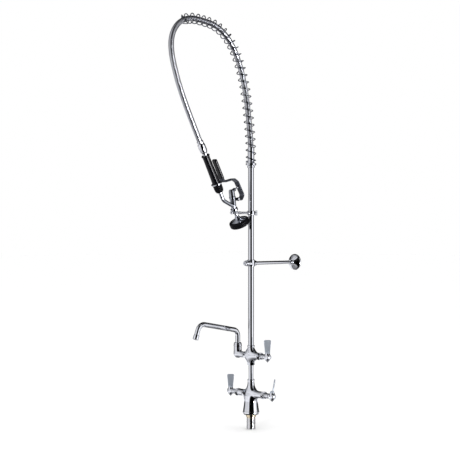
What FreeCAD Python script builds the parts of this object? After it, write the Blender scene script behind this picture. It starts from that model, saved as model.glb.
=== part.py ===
# Pre rinse faucet: single-hole mixing base, add-on faucet with swing spout, riser with
# wall bracket, guide spring and hose, and a squeeze spray valve hanging in a finger hook.
# Millimetres. +Z up, origin at the centre of the deck plane, -Y is the front.
import FreeCAD, Part
import math
import os

V = FreeCAD.Vector

# ---------------------------------------------------------------- driving dimensions
GASKET_R, GASKET_T = 22.5, 3.0
SPIGOT_R, SPIGOT_L = 15.5, 7.0           # locating spigot below the deck plane
SHANK_R, SHANK_END, SHANK_BORE = 13.2, -43.0, 11.0      # G3/4 shank
INLET_X, INLET_R = 5.6, 4.5              # M10 x 1 supply sockets up inside the shank
BASE_AXIS_Z, BASE_ARM_X, BASE_ARM_R = 61.5, 50.0, 10.5
BASE_HUB_X = 88.0
NECK_TOP_Z, NECK_R = 105.0, 10.5
TUBE_R, TUBE_BORE = 7.4, 5.6
ADD_Z, ADD_ARM_X, ADD_HUB_X, ADD_ARM_R = 176.0, 34.0, 69.0, 9.5
SOCKET_DEPTH = 30.0                      # cartridge socket, from the arm's end
ADD_BOTTOM_Z, ADD_TOP_Z = 157.0, 200.0
SPOUT_X, SPOUT_BEND_Y, SPOUT_END, SPOUT_TILT = -57.0, -156.3, 48.9, math.radians(20.0)
SPOUT_BEND_Z, SPOUT_SLOPE = 247.6, 0.184  # the lower bend, and the rise of the long run
RISER_R, RISER_BORE, RISER_TOP = 8.5, 6.3, 745.0
BRACKET_Z, WALL_Y, ROD_R, FLANGE_R = 452.5, 195.0, 5.25, 25.0
HOOK_Z, HOOK_ROOT_Y, PRONG_X, PRONG_R, PRONG_END_Y = 603.0, -47.2, 11.6, 3.4, -70.0
SPINDLE_R, SPINDLE_CLEAR = 3.5, 0.05
PORT_OFF = 4.4                           # cartridge ports above and below the spindle's axis
LEVER_LEAN, LEVER_TWIST = 9.0, 45.0      # degrees: the blade leans back and faces half inwards
HOSE_R = 8.0
NECK_TUBE_R, NECK_BORE = 5.6, 3.6        # the spray valve's bent neck
SPRING_MEAN_R, SPRING_WIRE_R = 14.4, 1.5
SPRING_TURNS, SPRING_PITCH = 26.5, 21.2
GRIP_TILT = math.radians(29.0)
GRIP_FOOT = (-142.5, 688.3)              # y, z of the grip's lower end
NECK_B = 26.8                            # the spray neck's offset from the grip axis
PIN = (79.0, 50.0)                       # lever pin in the spray valve's own A, B
FACE_R = 30.5

# hose centreline, (distance in front of the riser, height): straight runs with tangent arcs
HOSE_ROUTE = [(0, 752), (0, 796), (5, 848), (13, 912), (25, 975), (42, 1030), (66, 1081),
              (101, 1123), (147, 1149), (200, 1156), (250, 1158), (293, 1137), (317, 1098),
              (317, 1052), (302, 1001), (283, 950), (241.4, 866.8), (200.7, 793.3)]

parts = {}


# ---------------------------------------------------------------- small tools
def unit(d):
    return d * (1.0 / d.Length)


def rod(p, q, r):
    return Part.makeCylinder(r, (q - p).Length, p, q - p)


def cone(p, q, r1, r2):
    return Part.makeCone(r1, r2, (q - p).Length, p, q - p)


def pipe(p, q, ro, ri):
    d = unit(q - p)
    return rod(p, q, ro).cut(rod(p - d, q + d, ri))


def turned(p, axis, profile):
    """Revolve (height, radius) points about an axis through p."""
    pts = [V(r, 0, h) for h, r in profile]
    face = Part.Face(Part.makePolygon(pts + [pts[0]]))
    solid = face.revolve(V(0, 0, 0), V(0, 0, 1), 360)
    solid.Placement = FreeCAD.Placement(p, FreeCAD.Rotation(V(0, 0, 1), axis))
    return solid


def lathe(p, axis, profile):
    """turned(), closed down to the axis."""
    return turned(p, axis, [(profile[0][0], 0)] + profile + [(profile[-1][0], 0)])


def hexbar(p, q, across, turn=0.0):
    r = across / math.sqrt(3)
    pts = [V(r * math.cos(math.radians(60 * i + turn)), r * math.sin(math.radians(60 * i + turn)), 0)
           for i in range(6)]
    solid = Part.Face(Part.makePolygon(pts + [pts[0]])).extrude(V(0, 0, (q - p).Length))
    solid.Placement = FreeCAD.Placement(p, FreeCAD.Rotation(V(0, 0, 1), q - p))
    return solid.common(lathe(p, q - p, [(0, r * 0.93), (r * 0.06, r * 0.985),
                                         ((q - p).Length - r * 0.06, r * 0.985),
                                         ((q - p).Length, r * 0.93)]))


def box(x0, x1, y0, y1, z0, z1):
    return Part.makeBox(x1 - x0, y1 - y0, z1 - z0, V(x0, y0, z0))


def bent(points, radii):
    """Wire of straight runs joined by tangent arcs."""
    edges, start = [], points[0]
    for i in range(1, len(points) - 1):
        a, b = unit(points[i - 1] - points[i]), unit(points[i + 1] - points[i])
        half = (math.pi - a.getAngle(b)) / 2
        back = radii[i - 1] * math.tan(half)
        c = unit(a + b)
        p1, p2 = points[i] + a * back, points[i] + b * back
        mid = points[i] + c * (radii[i - 1] / math.cos(half) - radii[i - 1])
        if (p1 - start).Length > 1e-6:
            edges.append(Part.makeLine(start, p1))
        edges.append(Part.Arc(p1, mid, p2).toShape())
        start = p2
    edges.append(Part.makeLine(start, points[-1]))
    return Part.Wire(edges)


def swept(wire, start, ahead, r):
    ring = Part.Wire(Part.makeCircle(r, start, ahead))
    return wire.makePipeShell([ring], True, False)


def rounded(shape, r, pick=None):
    edges = [e for e in shape.Edges if pick is None or pick(e)]
    try:
        done = shape.makeFillet(r, edges)
        return done if done.isValid() and done.Volume > 0 else shape
    except Exception:
        return shape


def put(name, shape):
    shape = shape.removeSplitter()
    if shape.ShapeType != "Solid" and len(shape.Solids) == 1:
        shape = shape.Solids[0]
    parts[name] = shape
    b = shape.BoundBox
    print("%-20s %s solids %d vol %8.1f  x %.1f %.1f  y %.1f %.1f  z %.1f %.1f" % (
        name, "ok " if shape.isValid() else "BAD", len(shape.Solids), shape.Volume,
        b.XMin, b.XMax, b.YMin, b.YMax, b.ZMin, b.ZMax))


X, Y, Z = V(1, 0, 0), V(0, 1, 0), V(0, 0, 1)


# ---------------------------------------------------------------- one lever-handled valve
def valve(name, side, z, arm_x, hub_x, facing):
    """Bonnet, cartridge, spindle, lever and screw on an arm end at x = side * arm_x."""
    ax = V(side, 0, 0)

    def at(h):
        return V(side * (arm_x + h), 0, z)
    span = hub_x - arm_x
    sleeve_end = span - 13.0
    r_bore = SPINDLE_R + SPINDLE_CLEAR
    bonnet = hexbar(at(0), at(9), 21.0, 30).fuse(rod(at(-10), at(0), 8.3))
    bonnet = bonnet.fuse(turned(at(0), ax, [(9, 3), (9, 9.0), (12, 9.0), (13, 8.0), (17, 8.0), (18, 7.0),
                                            (18, 3)]))
    bonnet = bonnet.fuse(turned(at(0), ax, [(18, 3), (18, 7.2), (19, 7.8), (sleeve_end - 1, 7.8),
                                            (sleeve_end, 7.2), (sleeve_end, 3)]))
    bonnet = bonnet.cut(rod(at(19), at(span), r_bore + 0.5))
    put(name + "_bonnet", bonnet.cut(rod(at(-11), at(19), r_bore)))
    cartridge = rod(at(-SOCKET_DEPTH), at(-10), 8.3).cut(rod(at(-27), at(-9), 6.5))
    for dz in (-PORT_OFF, PORT_OFF):
        hole = rod(at(-SOCKET_DEPTH - 1), at(-26), 1.6)
        hole.translate(V(0, 0, dz))
        cartridge = cartridge.cut(hole)
    if name == "pot":
        cartridge = cartridge.cut(rod(at(-25.3), at(-25.3) + Y * 9, 1.6))
    put(name + "_cartridge", cartridge)
    spindle = rod(at(-18), at(span + 4), SPINDLE_R).fuse(rod(at(-23.5), at(-14), 6.1))
    disc = rod(at(-26.9), at(-23.5), 6.1).common(box(-99, 99, -2.2, 2.2, z - 9, z + 9))
    put(name + "_spindle", spindle.fuse(disc).cut(rod(at(span - 6), at(span + 5), 1.8)))

    hub = lathe(at(0), ax, [(sleeve_end + 0.6, 7.2), (sleeve_end + 1.4, 7.8), (span + 8, 7.8),
                            (span + 10, 6.2)])
    drop = lathe(V(side * hub_x, 0, z), Z, [(-15.5, 1.2), (-14.5, 2.0), (-13, 2.2), (-12, 4.6), (-9.5, 6.8),
                                            (-5, 8.6), (0, 9.2), (6, 8.4), (12, 6.8), (16, 5.0)])
    half_foot, half_top, blade_t, reach = 6.4, 11.2, 3.6, 50.6
    blade = Part.Face(Part.makePolygon([V(-half_foot, 0, 2), V(half_foot, 0, 2), V(half_top, 0, reach),
                                        V(-half_top, 0, reach), V(-half_foot, 0, 2)])).extrude(V(0, blade_t, 0))
    blade = rounded(blade, 4.5, lambda e: abs(e.CenterOfMass.z - reach) < 0.1 and e.Length < blade_t + 0.1)
    blade = rounded(blade, 1.0, lambda e: e.CenterOfMass.z > 12)
    blade.translate(V(0, -blade_t / 2, 0))
    blade.rotate(V(0, 0, 0), X, -LEVER_LEAN)
    blade.rotate(V(0, 0, 0), Z, LEVER_TWIST * facing)
    blade.translate(V(side * hub_x, 0, z))
    lever = hub.fuse([drop, blade])
    lever = lever.cut(rod(at(0), at(span + 4), SPINDLE_R)).cut(rod(at(span + 4), at(span + 12), 1.8))
    lever = lever.cut(rod(at(span + 8), at(span + 12), 4.0))
    put(name + "_lever", lever)
    screw = rod(at(span - 6), at(span + 8), 1.8).fuse(rod(at(span + 8), at(span + 9.6), 3.9))
    put(name + "_screw", screw.cut(hexbar(at(span + 8.6), at(span + 11), 3.0)))


# ---------------------------------------------------------------- mixing base
ring = turned(V(0, 0, 0), Z, [(0, 15.6), (0, GASKET_R - 0.6), (0.6, GASKET_R), (GASKET_T - 0.6, GASKET_R),
                              (GASKET_T, GASKET_R - 0.6), (GASKET_T, 15.6)])
put("deck_gasket", ring)

shank = lathe(V(0, 0, 0), Z, [(SHANK_END, SHANK_R - 1), (SHANK_END + 1, SHANK_R), (-9.5, SHANK_R),
                              (-9.5, SHANK_R - 1.2), (-SPIGOT_L, SHANK_R - 1.2),
                              (-SPIGOT_L, SPIGOT_R), (0, SPIGOT_R), (0, 15.0), (GASKET_T, 15.0)])
shank = shank.cut(rod(V(0, 0, SHANK_END - 1), V(0, 0, -2), SHANK_BORE))
for s in (-1, 1):
    shank = shank.cut(rod(V(s * INLET_X, 0, -3), V(s * INLET_X, 0, 4), INLET_R + 0.4))
put("shank", shank)

body = lathe(V(0, 0, 0), Z, [(GASKET_T, 23.4), (4.6, 25.0), (9.0, 25.0), (9.8, 24.3), (24, 22.4), (36, 21.0),
                             (44, 20.2), (50, 19.9), (56, 19.6), (62, 19.0), (68, 17.8), (74, 15.9),
                             (80, 13.6), (86, 11.8), (92, 10.5), (97, 9.9), (97.8, NECK_R),
                             (104.4, NECK_R), (NECK_TOP_Z, NECK_R - 0.6)])
half_arm = [(12, 17.6), (17, 15.4), (22, 13.4), (28, 11.9), (35, 10.9), (42, BASE_ARM_R),
            (BASE_ARM_X - 0.5, BASE_ARM_R), (BASE_ARM_X, 10.0)]
arms = lathe(V(0, 0, BASE_AXIS_Z), X, [(-x, r) for x, r in reversed(half_arm)] + half_arm)
body = body.fuse(arms)
body = body.cut(rod(V(0, 0, 66), V(0, 0, 106), 6.0)).cut(rod(V(0, 0, 92), V(0, 0, 106), TUBE_R))
for s in (-1, 1):
    socket = s * (BASE_ARM_X - SOCKET_DEPTH)
    body = body.cut(rod(V(s * BASE_ARM_X, 0, BASE_AXIS_Z), V(socket, 0, BASE_AXIS_Z), 8.3))
    body = body.cut(rod(V(socket + s, 0, BASE_AXIS_Z + PORT_OFF), V(0, 0, BASE_AXIS_Z + 12), 2.4))
    body = body.cut(rod(V(s * INLET_X, 0, 2), V(s * INLET_X, 0, 13), INLET_R))
    body = body.cut(rod(V(s * INLET_X, 0, 13), V(s * INLET_X, 0, 27), 4.2))
    body = body.cut(rod(V(s * INLET_X, 0, 26), V(socket + s, 0, BASE_AXIS_Z - PORT_OFF), 2.6))
put("base_body", body)
put("check_valves", Part.makeCompound([pipe(V(s * INLET_X, 0, 13), V(s * INLET_X, 0, 25), 4.2, 2.2)
                                       for s in (-1, 1)]))

valve("hot", -1, BASE_AXIS_Z, BASE_ARM_X, BASE_HUB_X, 1)
valve("cold", 1, BASE_AXIS_Z, BASE_ARM_X, BASE_HUB_X, -1)

# ---------------------------------------------------------------- add-on faucet
put("lower_tube", pipe(V(0, 0, 92), V(0, 0, 162), TUBE_R, TUBE_BORE))
put("coupling_nut", hexbar(V(0, 0, 147), V(0, 0, ADD_BOTTOM_Z), 20.0).cut(
    rod(V(0, 0, 146), V(0, 0, 158), TUBE_R)))

addon = lathe(V(0, 0, 0), Z, [(ADD_BOTTOM_Z, 9.0), (158, 10.0), (162, 10.6), (167, 12.8), (172, 14.5),
                              (177, 15.0), (182, 14.3), (187, 12.9), (193, 11.2), (198, 9.9),
                              (ADD_TOP_Z, 9.4)])
addon = addon.fuse(lathe(V(0, 0, ADD_Z), X, [(SPOUT_X, ADD_ARM_R), (-22, ADD_ARM_R), (-12, 12.0),
                                             (10, 12.0), (17, 10.0), (ADD_ARM_X - 0.5, 10.0),
                                             (ADD_ARM_X, ADD_ARM_R)]))
addon = addon.fuse(lathe(V(SPOUT_X, 0, 0), Z, [(165.5, 4.0), (166.5, 8.0), (169, 10.4), (173, 11.6),
                                               (180, 12.0), (198, 12.0), (198, 11.2), (199, 11.2)]))
addon = addon.cut(rod(V(0, 0, 156), V(0, 0, 201), 5.6)).cut(rod(V(0, 0, 156), V(0, 0, 162), TUBE_R))
addon = addon.cut(rod(V(0, 0, 190), V(0, 0, 201), RISER_R))
addon = addon.cut(rod(V(ADD_ARM_X, 0, ADD_Z), V(ADD_ARM_X - SOCKET_DEPTH, 0, ADD_Z), 8.3))
# the spout's waterway leaves the cartridge's side port and passes behind the riser's own
addon = addon.cut(rod(V(-20, 0, ADD_Z), V(SPOUT_X, 0, ADD_Z), 4.0))
addon = addon.cut(rod(V(-20, 0, ADD_Z), V(-4, 9.4, ADD_Z), 2.0))
addon = addon.cut(rod(V(-4.6, 9.4, ADD_Z), V(10, 9.4, ADD_Z), 2.0))
addon = addon.cut(rod(V(SPOUT_X, 0, 171), V(SPOUT_X, 0, 184), 5.0))
addon = addon.cut(rod(V(SPOUT_X, 0, 184), V(SPOUT_X, 0, 200), 9.9))
put("add_on_body", addon)
valve("pot", 1, ADD_Z, ADD_ARM_X, ADD_HUB_X, 1)
put("riser_collar", turned(V(0, 0, 0), Z, [(ADD_TOP_Z, RISER_R), (ADD_TOP_Z, 10.2), (201, 10.8),
                                           (206, 10.8), (207, 10.0), (207, RISER_R)]))

# ---------------------------------------------------------------- swing spout
put("spout_nut", lathe(V(SPOUT_X, 0, 0), Z, [(199, 12.0), (199.6, 12.4), (204, 12.4), (205, 11.8),
                                             (208, 11.8), (211.5, 9.6)]).cut(
    rod(V(SPOUT_X, 0, 198), V(SPOUT_X, 0, 212), TUBE_R + 0.06)))
bend = V(SPOUT_X, SPOUT_BEND_Y, SPOUT_BEND_Z - SPOUT_SLOPE * SPOUT_BEND_Y)
back_up = V(0, math.sin(SPOUT_TILT), math.cos(SPOUT_TILT))
tip = bend - back_up * SPOUT_END
route = [V(SPOUT_X, 0, 185), V(SPOUT_X, 0, SPOUT_BEND_Z), bend, tip + back_up * 3]
wire = bent(route, [20.0, 24.0])
tube = swept(wire, route[0], Z, TUBE_R).cut(swept(wire, route[0], Z, TUBE_BORE))
tube = tube.cut(rod(route[0] - Z * 2, route[0] + Z * 6, TUBE_BORE))
put("spout_tube", tube)
put("spout_retainer", pipe(V(SPOUT_X, 0, 190), V(SPOUT_X, 0, 197.5), 9.3, TUBE_R))
put("spout_seals", pipe(V(SPOUT_X, 0, 185.5), V(SPOUT_X, 0, 188.5), 9.4, TUBE_R))
put("spout_outlet", lathe(tip, back_up, [(0, 8.0), (0.5, 8.6), (12.5, 8.6), (13.5, 7.9)]).cut(
    rod(tip + back_up * 3, tip + back_up * 15, TUBE_R + 0.06)).cut(rod(tip - back_up, tip + back_up * 4, 6.6)))
screen = rod(tip + back_up * 0.6, tip + back_up * 2.8, 6.6)
holes = [V(0, 0, 0)] + [(X * math.cos(i * math.pi / 3) + back_up.cross(X) * math.sin(i * math.pi / 3)) * 4.0
                        for i in range(6)]
for hole in holes:
    screen = screen.cut(rod(tip - back_up + hole, tip + back_up * 4 + hole, 1.1))
put("spout_screen", screen)

# ---------------------------------------------------------------- riser and wall bracket
put("riser", pipe(V(0, 0, 190), V(0, 0, RISER_TOP), RISER_R, RISER_BORE))
put("top_collar", turned(V(0, 0, 0), Z, [(738, RISER_R), (738, 10.4), (739, 11.0), (744, 11.0),
                                         (746, 15.2), (747, 15.8), (751, 15.8), (752, 15.2),
                                         (752, 5.0), (RISER_TOP, 5.0), (RISER_TOP, RISER_R)]))

clamp = lathe(V(0, 0, BRACKET_Z), Y, [(-22, 8.0), (-21, 8.8), (-12, 8.8), (12, 8.8), (13, 8.0), (16, 8.0),
                                      (19, 8.0), (20, 7.4)])
clamp = clamp.fuse(lathe(V(0, 0, BRACKET_Z), Z, [(-10.5, 10.6), (-9.5, 11.6), (9.5, 11.6), (10.5, 10.6)]))
clamp = clamp.cut(rod(V(0, 0, 430), V(0, 0, 475), RISER_R))
clamp = clamp.cut(rod(V(0, 12, BRACKET_Z), V(0, 25, BRACKET_Z), ROD_R))
clamp = clamp.cut(rod(V(0, -23, BRACKET_Z), V(0, -7, BRACKET_Z), 3.0))
put("bracket_clamp", clamp)
cap = rod(V(0, -22.5, BRACKET_Z), V(0, -9.2, BRACKET_Z), 3.0).fuse(
    lathe(V(0, 0, BRACKET_Z), -Y, [(22, 6.4), (23, 7.0), (26, 7.0), (28, 5.6)]))
put("bracket_screw", cap.cut(hexbar(V(0, -29, BRACKET_Z), V(0, -25.2, BRACKET_Z), 5.0)))
put("bracket_rod", rod(V(0, 12, BRACKET_Z), V(0, WALL_Y - 5, BRACKET_Z), ROD_R))
put("flange_collar", turned(V(0, 0, BRACKET_Z), Y, [(169, ROD_R), (169, 6.8), (170, 7.5), (177, 7.5),
                                                    (178, 7.0), (178, ROD_R)]))
bell = lathe(V(0, 0, BRACKET_Z), Y, [(178, 8.5), (180, 11.0), (184, 17.5), (188, 22.6), (191, 24.6),
                                     (192.5, FLANGE_R), (WALL_Y, FLANGE_R)])
bell = bell.cut(lathe(V(0, 0, BRACKET_Z), Y, [(181, 6.0), (186, 15.5), (190, 21.0), (WALL_Y + 1, 22.6)]))
put("wall_flange", bell.cut(rod(V(0, 170, BRACKET_Z), V(0, 200, BRACKET_Z), ROD_R)))
plate = lathe(V(0, 0, BRACKET_Z), Y, [(187, 8.0), (190.5, 8.4), (190.5, 19.5), (WALL_Y, 19.5)])
plate = plate.cut(rod(V(0, 180, BRACKET_Z), V(0, WALL_Y - 5, BRACKET_Z), ROD_R))
for s in (-1, 1):
    plate = plate.cut(rod(V(s * 13.5, 186, BRACKET_Z), V(s * 13.5, 200, BRACKET_Z), 2.4))
put("wall_plate", plate)

# ---------------------------------------------------------------- finger hook on the riser
ring = lathe(V(0, 0, HOOK_Z), Z, [(-6.5, 11.0), (-5.5, 12.0), (5.5, 12.0), (6.5, 11.0)])
ring = ring.fuse(rod(V(0, 0, HOOK_Z), V(0, 16, HOOK_Z), 5.0)).fuse(rod(V(0, 0, HOOK_Z), V(0, -16, HOOK_Z), 5.0))
ring = ring.cut(rod(V(0, 0, 590), V(0, 0, 620), RISER_R)).cut(rod(V(0, 7, HOOK_Z), V(0, 17, HOOK_Z), 2.5))
put("hook_clamp", ring.cut(rod(V(0, -17, HOOK_Z), V(0, -12.5, HOOK_Z), 3.6)))
knob = rod(V(0, 8.8, HOOK_Z), V(0, 18, HOOK_Z), 2.5).fuse(
    rod(V(0, 17, HOOK_Z), V(0, 20, HOOK_Z), 4.0)).fuse(box(-1.6, 1.6, 19, 26, HOOK_Z - 8, HOOK_Z + 8))
put("hook_knob", rounded(knob, 1.0, lambda e: e.CenterOfMass.y > 25.9))
half = [V(0, HOOK_ROOT_Y, HOOK_Z), V(PRONG_X, HOOK_ROOT_Y, HOOK_Z), V(PRONG_X, PRONG_END_Y, HOOK_Z)]
fork = rod(V(0, -12.5, HOOK_Z), V(0, HOOK_ROOT_Y, HOOK_Z), 3.6)
for s in (-1, 1):
    pts = [V(s * p.x, p.y, p.z) for p in half]
    fork = fork.fuse(swept(bent(pts, [5.0]), pts[0], V(s, 0, 0), PRONG_R))
    fork = fork.fuse(Part.makeSphere(4.6, V(s * (PRONG_X + 0.4), PRONG_END_Y, HOOK_Z)))
fork = fork.fuse(Part.makeSphere(4.4, V(0, HOOK_ROOT_Y, HOOK_Z)))
put("hook_fork", fork)

# ---------------------------------------------------------------- hose and guide spring
pts = [V(0, -a, z) for a, z in HOSE_ROUTE]
radii = []
for i in range(1, len(pts) - 1):
    a, b = pts[i - 1] - pts[i], pts[i + 1] - pts[i]
    turn = math.pi - a.getAngle(b)
    radii.append(0.45 * min(a.Length, b.Length) / math.tan(turn / 2))
wire = bent(pts, radii)
hose = swept(wire, pts[0], Z, HOSE_R)
put("hose", hose)
print("hose length %.1f  volume %.0f  section x length %.0f" % (
    wire.Length, hose.Volume, math.pi * HOSE_R ** 2 * wire.Length))
print("hose radii", [round(r) for r in radii])
put("hose_top_ferrule", turned(V(0, 0, 752), Z, [(0, HOSE_R), (0, 9.8), (47, 9.8), (48, 9.2), (48, 8.8),
                                                (26, 8.8), (24, HOSE_R)]))

edges = wire.OrderedEdges
starts, total = [], 0.0
for e in edges:
    starts.append(total)
    total += e.Length


def along(dist):
    """Point and forward direction on the hose centreline."""
    i = max(k for k in range(len(edges)) if starts[k] <= dist + 1e-9)
    e = edges[i]
    u = e.getParameterByLength(min(max(dist - starts[i], 0.0), e.Length))
    return e.valueAt(u), unit(e.tangentAt(u))


PER_TURN = 12
turns_closed = 1.5
count = int((SPRING_TURNS + 2 * turns_closed) * PER_TURN)
helix, dist = [], SPRING_WIRE_R + 0.5
for i in range(count + 1):
    p, t = along(dist)
    side = X.cross(t)
    ang = 2 * math.pi * i / PER_TURN
    helix.append(p + X * (SPRING_MEAN_R * math.cos(ang)) + side * (SPRING_MEAN_R * math.sin(ang)))
    open_share = (min(i, count - i) / PER_TURN - turns_closed + 0.5)
    open_share = min(max(open_share, 0.0), 1.0)
    shut = 2 * SPRING_WIRE_R + 0.25
    dist += (shut + (SPRING_PITCH - shut) * open_share) / PER_TURN
curve = Part.BSplineCurve()
curve.interpolate(helix)
coil = Part.Wire(curve.toShape())
put("guide_spring", coil.makePipeShell([Part.Wire(Part.makeCircle(
    SPRING_WIRE_R, helix[0], curve.tangent(curve.FirstParameter)[0]))], True, True))
print("spring ends at", along(dist)[0])

# ---------------------------------------------------------------- spray valve
sa, ca = math.sin(GRIP_TILT), math.cos(GRIP_TILT)
AX, BX = V(0, sa, -ca), V(0, ca, sa)     # down the grip, and from the grip toward the riser


def at(a, b, x=0.0):
    return V(x, GRIP_FOOT[0], GRIP_FOOT[1]) + AX * a + BX * b


put("hose_end_nut", lathe(at(0, 0), AX, [(-136, 9.6), (-134, 10.6), (-126, 11.0), (-104, 11.0), (-101, 10.2),
                                         (-98, 8.4), (-97, 8.4)]).cut(
    rod(at(-137, 0), at(-119, 0), HOSE_R + 0.5)).cut(rod(at(-120, 0), at(-96, 0), 4.0)))
put("grip_tube", pipe(at(-97, 0), at(33, 0), 6.7, 4.0))
put("grip", lathe(at(0, 0), AX, [(-91, 11.6), (-90, 12.5), (-87, 12.5), (-85.5, 10.9), (-60, 10.7), (-30, 11.2),
                                 (-8, 12.0), (-1, 12.4), (0, 12.0)]).cut(rod(at(-92, 0), at(1, 0), 6.7)))
put("grip_flange", turned(at(0, 0), AX, [(0, 6.7), (0, 16.0), (0.6, 16.6), (3.0, 16.6), (3.6, 16.0),
                                         (3.6, 6.7)]))
put("grip_cup", turned(at(0, 0), AX, [(3.6, 6.7), (3.6, 12.8), (5, 13.4), (18, 13.2), (24, 12.4), (28, 10.6),
                                      (29.5, 8.5), (29.5, 6.7)]))

J, T = at(98, NECK_B), at(44, 44.5)      # elbow joint and bonnet top
up = unit(T - J)
rise = (T - J).Length
pts = [at(33, 0), at(57, 0), at(90, NECK_B), at(134, NECK_B)]
wire = bent(pts, [20.0, 16.0])
casting = swept(wire, pts[0], AX, NECK_TUBE_R)
casting = casting.fuse(lathe(J, up, [(-4, 6.0), (2, 7.4), (8, 8.2), (20, 8.6), (30, 9.0)]))
casting = casting.fuse(rod(at(97.5, NECK_B), at(105, NECK_B), 11.0))
casting = casting.fuse(cone(at(122, NECK_B), at(130, NECK_B), NECK_TUBE_R, 9.0))
casting = casting.fuse(cone(at(130, NECK_B), at(138, NECK_B), 9.0, 23.5))
casting = casting.cut(swept(wire, pts[0], AX, NECK_BORE)).cut(cone(at(131, NECK_B), at(138.5, NECK_B), 4.0, 20.0))
# lever pin boss on the side of the bonnet
Pin = at(PIN[0], PIN[1])
boss_foot = J + up * ((Pin - J).dot(up))
casting = casting.fuse(rod(boss_foot, Pin, 4.6).fuse(rod(Pin - X * 4.2, Pin + X * 4.2, 4.6)))
stem_c = at(50, 44.0)
stem_h = (stem_c - J).dot(up)
casting = casting.cut(rod(J + up * 12, J + up * 31, 5.5)).cut(rod(Pin - X * 6, Pin + X * 6, 3.0))
put("spray_casting", casting)
bonnet = lathe(J, up, [(30, 9.4), (31, 10.0), (35, 10.0), (36, 9.0), (46, 8.8), (rise - 3, 8.0),
                       (rise, 6.2)])
bonnet = bonnet.fuse(rod(stem_c, stem_c + BX * 13.5, 5.4))
bonnet = bonnet.cut(rod(J + up * 29, J + up * (stem_h + 2), 5.5))
bonnet = bonnet.cut(rod(stem_c - BX * 2, stem_c + BX * 15, 2.5 + SPINDLE_CLEAR))
put("spray_bonnet", bonnet)
put("spray_stem", rod(stem_c - BX * 1.0, stem_c + BX * 28.4, 2.5).fuse(
    lathe(stem_c, BX, [(24.5, 4.2), (27.4, 4.2), (28.6, 2.8)])))
put("seat_washer", pipe(J + up * 12, J + up * 15, 5.5, 2.6))
spring_pts = [J + up * (16.5 + 16.0 * i / 48) + X * (3.9 * math.cos(i * math.pi / 4))
              + unit(up.cross(X)) * (3.9 * math.sin(i * math.pi / 4)) for i in range(49)]
curve = Part.BSplineCurve()
curve.interpolate(spring_pts)
put("valve_spring", Part.Wire(curve.toShape()).makePipeShell([Part.Wire(Part.makeCircle(
    0.6, spring_pts[0], curve.tangent(curve.FirstParameter)[0]))], True, True))
put("lever_pin", rod(Pin - X * 9.5, Pin + X * 9.5, 2.95).fuse(
    rod(Pin - X * 11, Pin - X * 9.5, 3.8)).fuse(rod(Pin + X * 9.5, Pin + X * 11, 3.8)))

bumper = lathe(at(0, NECK_B), AX, [(137, 24.0), (137, 27.5), (139, 29.8), (142, FACE_R), (150, FACE_R),
                                   (153, 29.6), (155, 27.0), (155, 25.0)])
bumper = bumper.cut(cone(at(130, NECK_B), at(138, NECK_B), 9.0, 23.5))
bumper = bumper.cut(rod(at(136, NECK_B), at(144, NECK_B), 23.5)).cut(rod(at(144, NECK_B), at(156, NECK_B), 22.0))
put("bumper", bumper)
housing = rod(at(138, NECK_B), at(144, NECK_B), 23.5).cut(rod(at(137, NECK_B), at(145, NECK_B), 20.0))
housing = housing.fuse(pipe(at(144, NECK_B), at(150, NECK_B), 22.0, 20.0))
put("face_ring", housing)
face = rod(at(147, NECK_B), at(150, NECK_B), 20.0)
for n, r in ((6, 5.0), (12, 10.0), (18, 15.0)):
    for i in range(n):
        t = 2 * math.pi * i / n
        face = face.cut(rod(at(146, NECK_B + r * math.sin(t), r * math.cos(t)),
                            at(151, NECK_B + r * math.sin(t), r * math.cos(t)), 0.8))
put("spray_plate", face.fuse(lathe(at(0, NECK_B), AX, [(150, 3.2), (151.4, 3.2), (152, 2.4)])))

# squeeze lever: a bent strap round the bonnet, and a smooth pad beside the grip
route = [PIN, (88, 62), (80, 76.5), (34, 74.5), (20, 66), (9, 25.5), (-2, 25.5)]
pts = [at(a, b) for a, b in route]
wire = bent(pts, [7.0, 9.0, 9.0, 9.0, 7.0])
d = unit(pts[1] - pts[0])
n = X.cross(d)
corners = [pts[0] + X * 8.5 + n * 2.3, pts[0] - X * 8.5 + n * 2.3, pts[0] - X * 8.5 - n * 2.3,
           pts[0] + X * 8.5 - n * 2.3]
strap = wire.makePipeShell([Part.makePolygon(corners + [corners[0]])], True, False)
for s in (-1, 1):
    strap = strap.fuse(rod(Pin + X * (s * 4.9), Pin + X * (s * 8.5), 5.6))
room = rod(Pin - X * 4.9, Pin + X * 4.9, 8.2)
strap = strap.cut(room).cut(rod(Pin - X * 12, Pin + X * 12, 3.0))
pad = box(-9, 9, -4.5, 4.5, -65, -2.5)
pad = rounded(pad, 4.0, lambda e: abs(e.Vertexes[0].Point.z - e.Vertexes[-1].Point.z) > 10
              or e.CenterOfMass.z < -64.9)
pad.Placement = FreeCAD.Placement(at(0, 25.5), FreeCAD.Rotation(V(-1, 0, 0), BX, AX, "ZYX"))
tongue = Part.makeBox(10, 3.2, 50, V(-5, -1.6, -50))
tongue.Placement = pad.Placement
pad = pad.cut(tongue)
put("lever_pad", pad)
put("lever_strap", strap.fuse(tongue))

os.makedirs("parts", exist_ok=True)
for name, shape in parts.items():
    shape.exportStep("parts/%s.step" % name)
print(len(parts), "nodes")
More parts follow.
